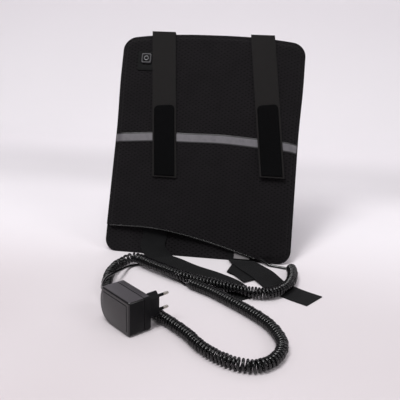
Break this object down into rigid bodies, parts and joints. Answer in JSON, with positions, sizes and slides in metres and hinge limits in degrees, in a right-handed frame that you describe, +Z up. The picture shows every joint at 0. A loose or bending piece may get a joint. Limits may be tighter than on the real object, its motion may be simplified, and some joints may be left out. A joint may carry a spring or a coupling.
{
  "type": "heating pad",
  "caption": "Flexible heating pad that leans back on its foot: mesh sleeve with hook-and-loop straps, push-button control and a curly cord to a plug-in adapter",
  "frame": {"origin": "on the floor, under the middle of the box round the pad and its straps, the cord and adapter left out", "axes": "+X to the pad's right as seen from its front, +Y from the front to the back, +Z up; the pad leans back toward +Y by 26 degrees"},
  "size_m": [0.3426, 0.4748, 0.333],
  "materials": {
    "mesh_front": "knitted spacer mesh, matte",
    "mesh_back": "knitted spacer mesh, matte",
    "heating_felt": "needled carrier fleece",
    "heating_conductor": "insulated heating wire",
    "cutout_capsule": "insulated thermal cut-out",
    "reflective_tape": "glass-bead reflective tape",
    "edge_binding": "satin binding tape",
    "bare_label": "woven tape, unprinted",
    "silicone": "matte silicone",
    "bezel": "moulded, satin",
    "light_ring": "translucent light guide",
    "circuit_board": "glass-fibre board",
    "webbing": "woven webbing",
    "hook_tape": "hook fastener, dense short hooks",
    "loop_tape": "brushed loop tape",
    "cord_jacket": "glossy polyurethane jacket",
    "cord_moulding": "moulded strain relief",
    "gloss_shell": "polished polycarbonate",
    "matte_shell": "spark-eroded polycarbonate",
    "switch_can": "stamped can",
    "transformer_core": "ferrite and tape",
    "pin_metal": "nickel-plated brass",
    "pin_insulation": "moulded pin sleeve"
  },
  "bodies": {
    "pad": {"back_panel": "mesh_back", "front_panel": "mesh_front", "hem_binding": "edge_binding", "reflective_band": "reflective_tape", "label_tab": "bare_label", "heating_carrier": "heating_felt", "heating_wire": "heating_conductor", "thermal_cutout": "cutout_capsule", "inner_lead": "cord_moulding", "control_lead": "cord_moulding", "controller_patch": "silicone", "controller_housing": "bezel", "controller_back_plate": "matte_shell", "controller_board": "circuit_board", "button_switch": "switch_can", "upper_strap_root_left": "webbing", "upper_strap_root_right": "webbing", "lower_strap_left": "loop_tape", "lower_strap_right": "loop_tape", "folded_strap_tail": "loop_tape", "cord_gland": "cord_moulding", "cord_lead": "cord_jacket", "cord_coil": "cord_jacket", "cord_tail": "cord_jacket", "adapter_strain_relief": "cord_moulding", "adapter_front_shell": "gloss_shell", "adapter_rear_shell": "matte_shell", "adapter_board": "circuit_board", "adapter_transformer": "transformer_core", "plug_pin_upper": "pin_metal", "plug_pin_lower": "pin_metal", "pin_sleeve_upper": "pin_insulation", "pin_sleeve_lower": "pin_insulation"},
    "button": {"push_button": "silicone", "button_light_ring": "light_ring"},
    "strap_left": {"upper_strap_left": "webbing", "hook_patch_left": "hook_tape"},
    "strap_right": {"upper_strap_right": "webbing", "hook_patch_right": "hook_tape"}
  },
  "joints": [
    {"name": "button_press", "type": "slide", "parent": "pad", "child": "button", "axis": [0, 0.8988, -0.4384], "range_m": [0, 0.0008], "stiffness_N_per_m": 1200},
    {"name": "strap_left_fold", "type": "hinge", "parent": "pad", "child": "strap_left", "pos_m": [-0.10409, 0.1402, 0.33234], "axis": [-1, 0, 0], "range_deg": [0, 180]},
    {"name": "strap_right_fold", "type": "hinge", "parent": "pad", "child": "strap_right", "pos_m": [0.0582, 0.1402, 0.33234], "axis": [-1, 0, 0], "range_deg": [0, 180]}
  ]
}
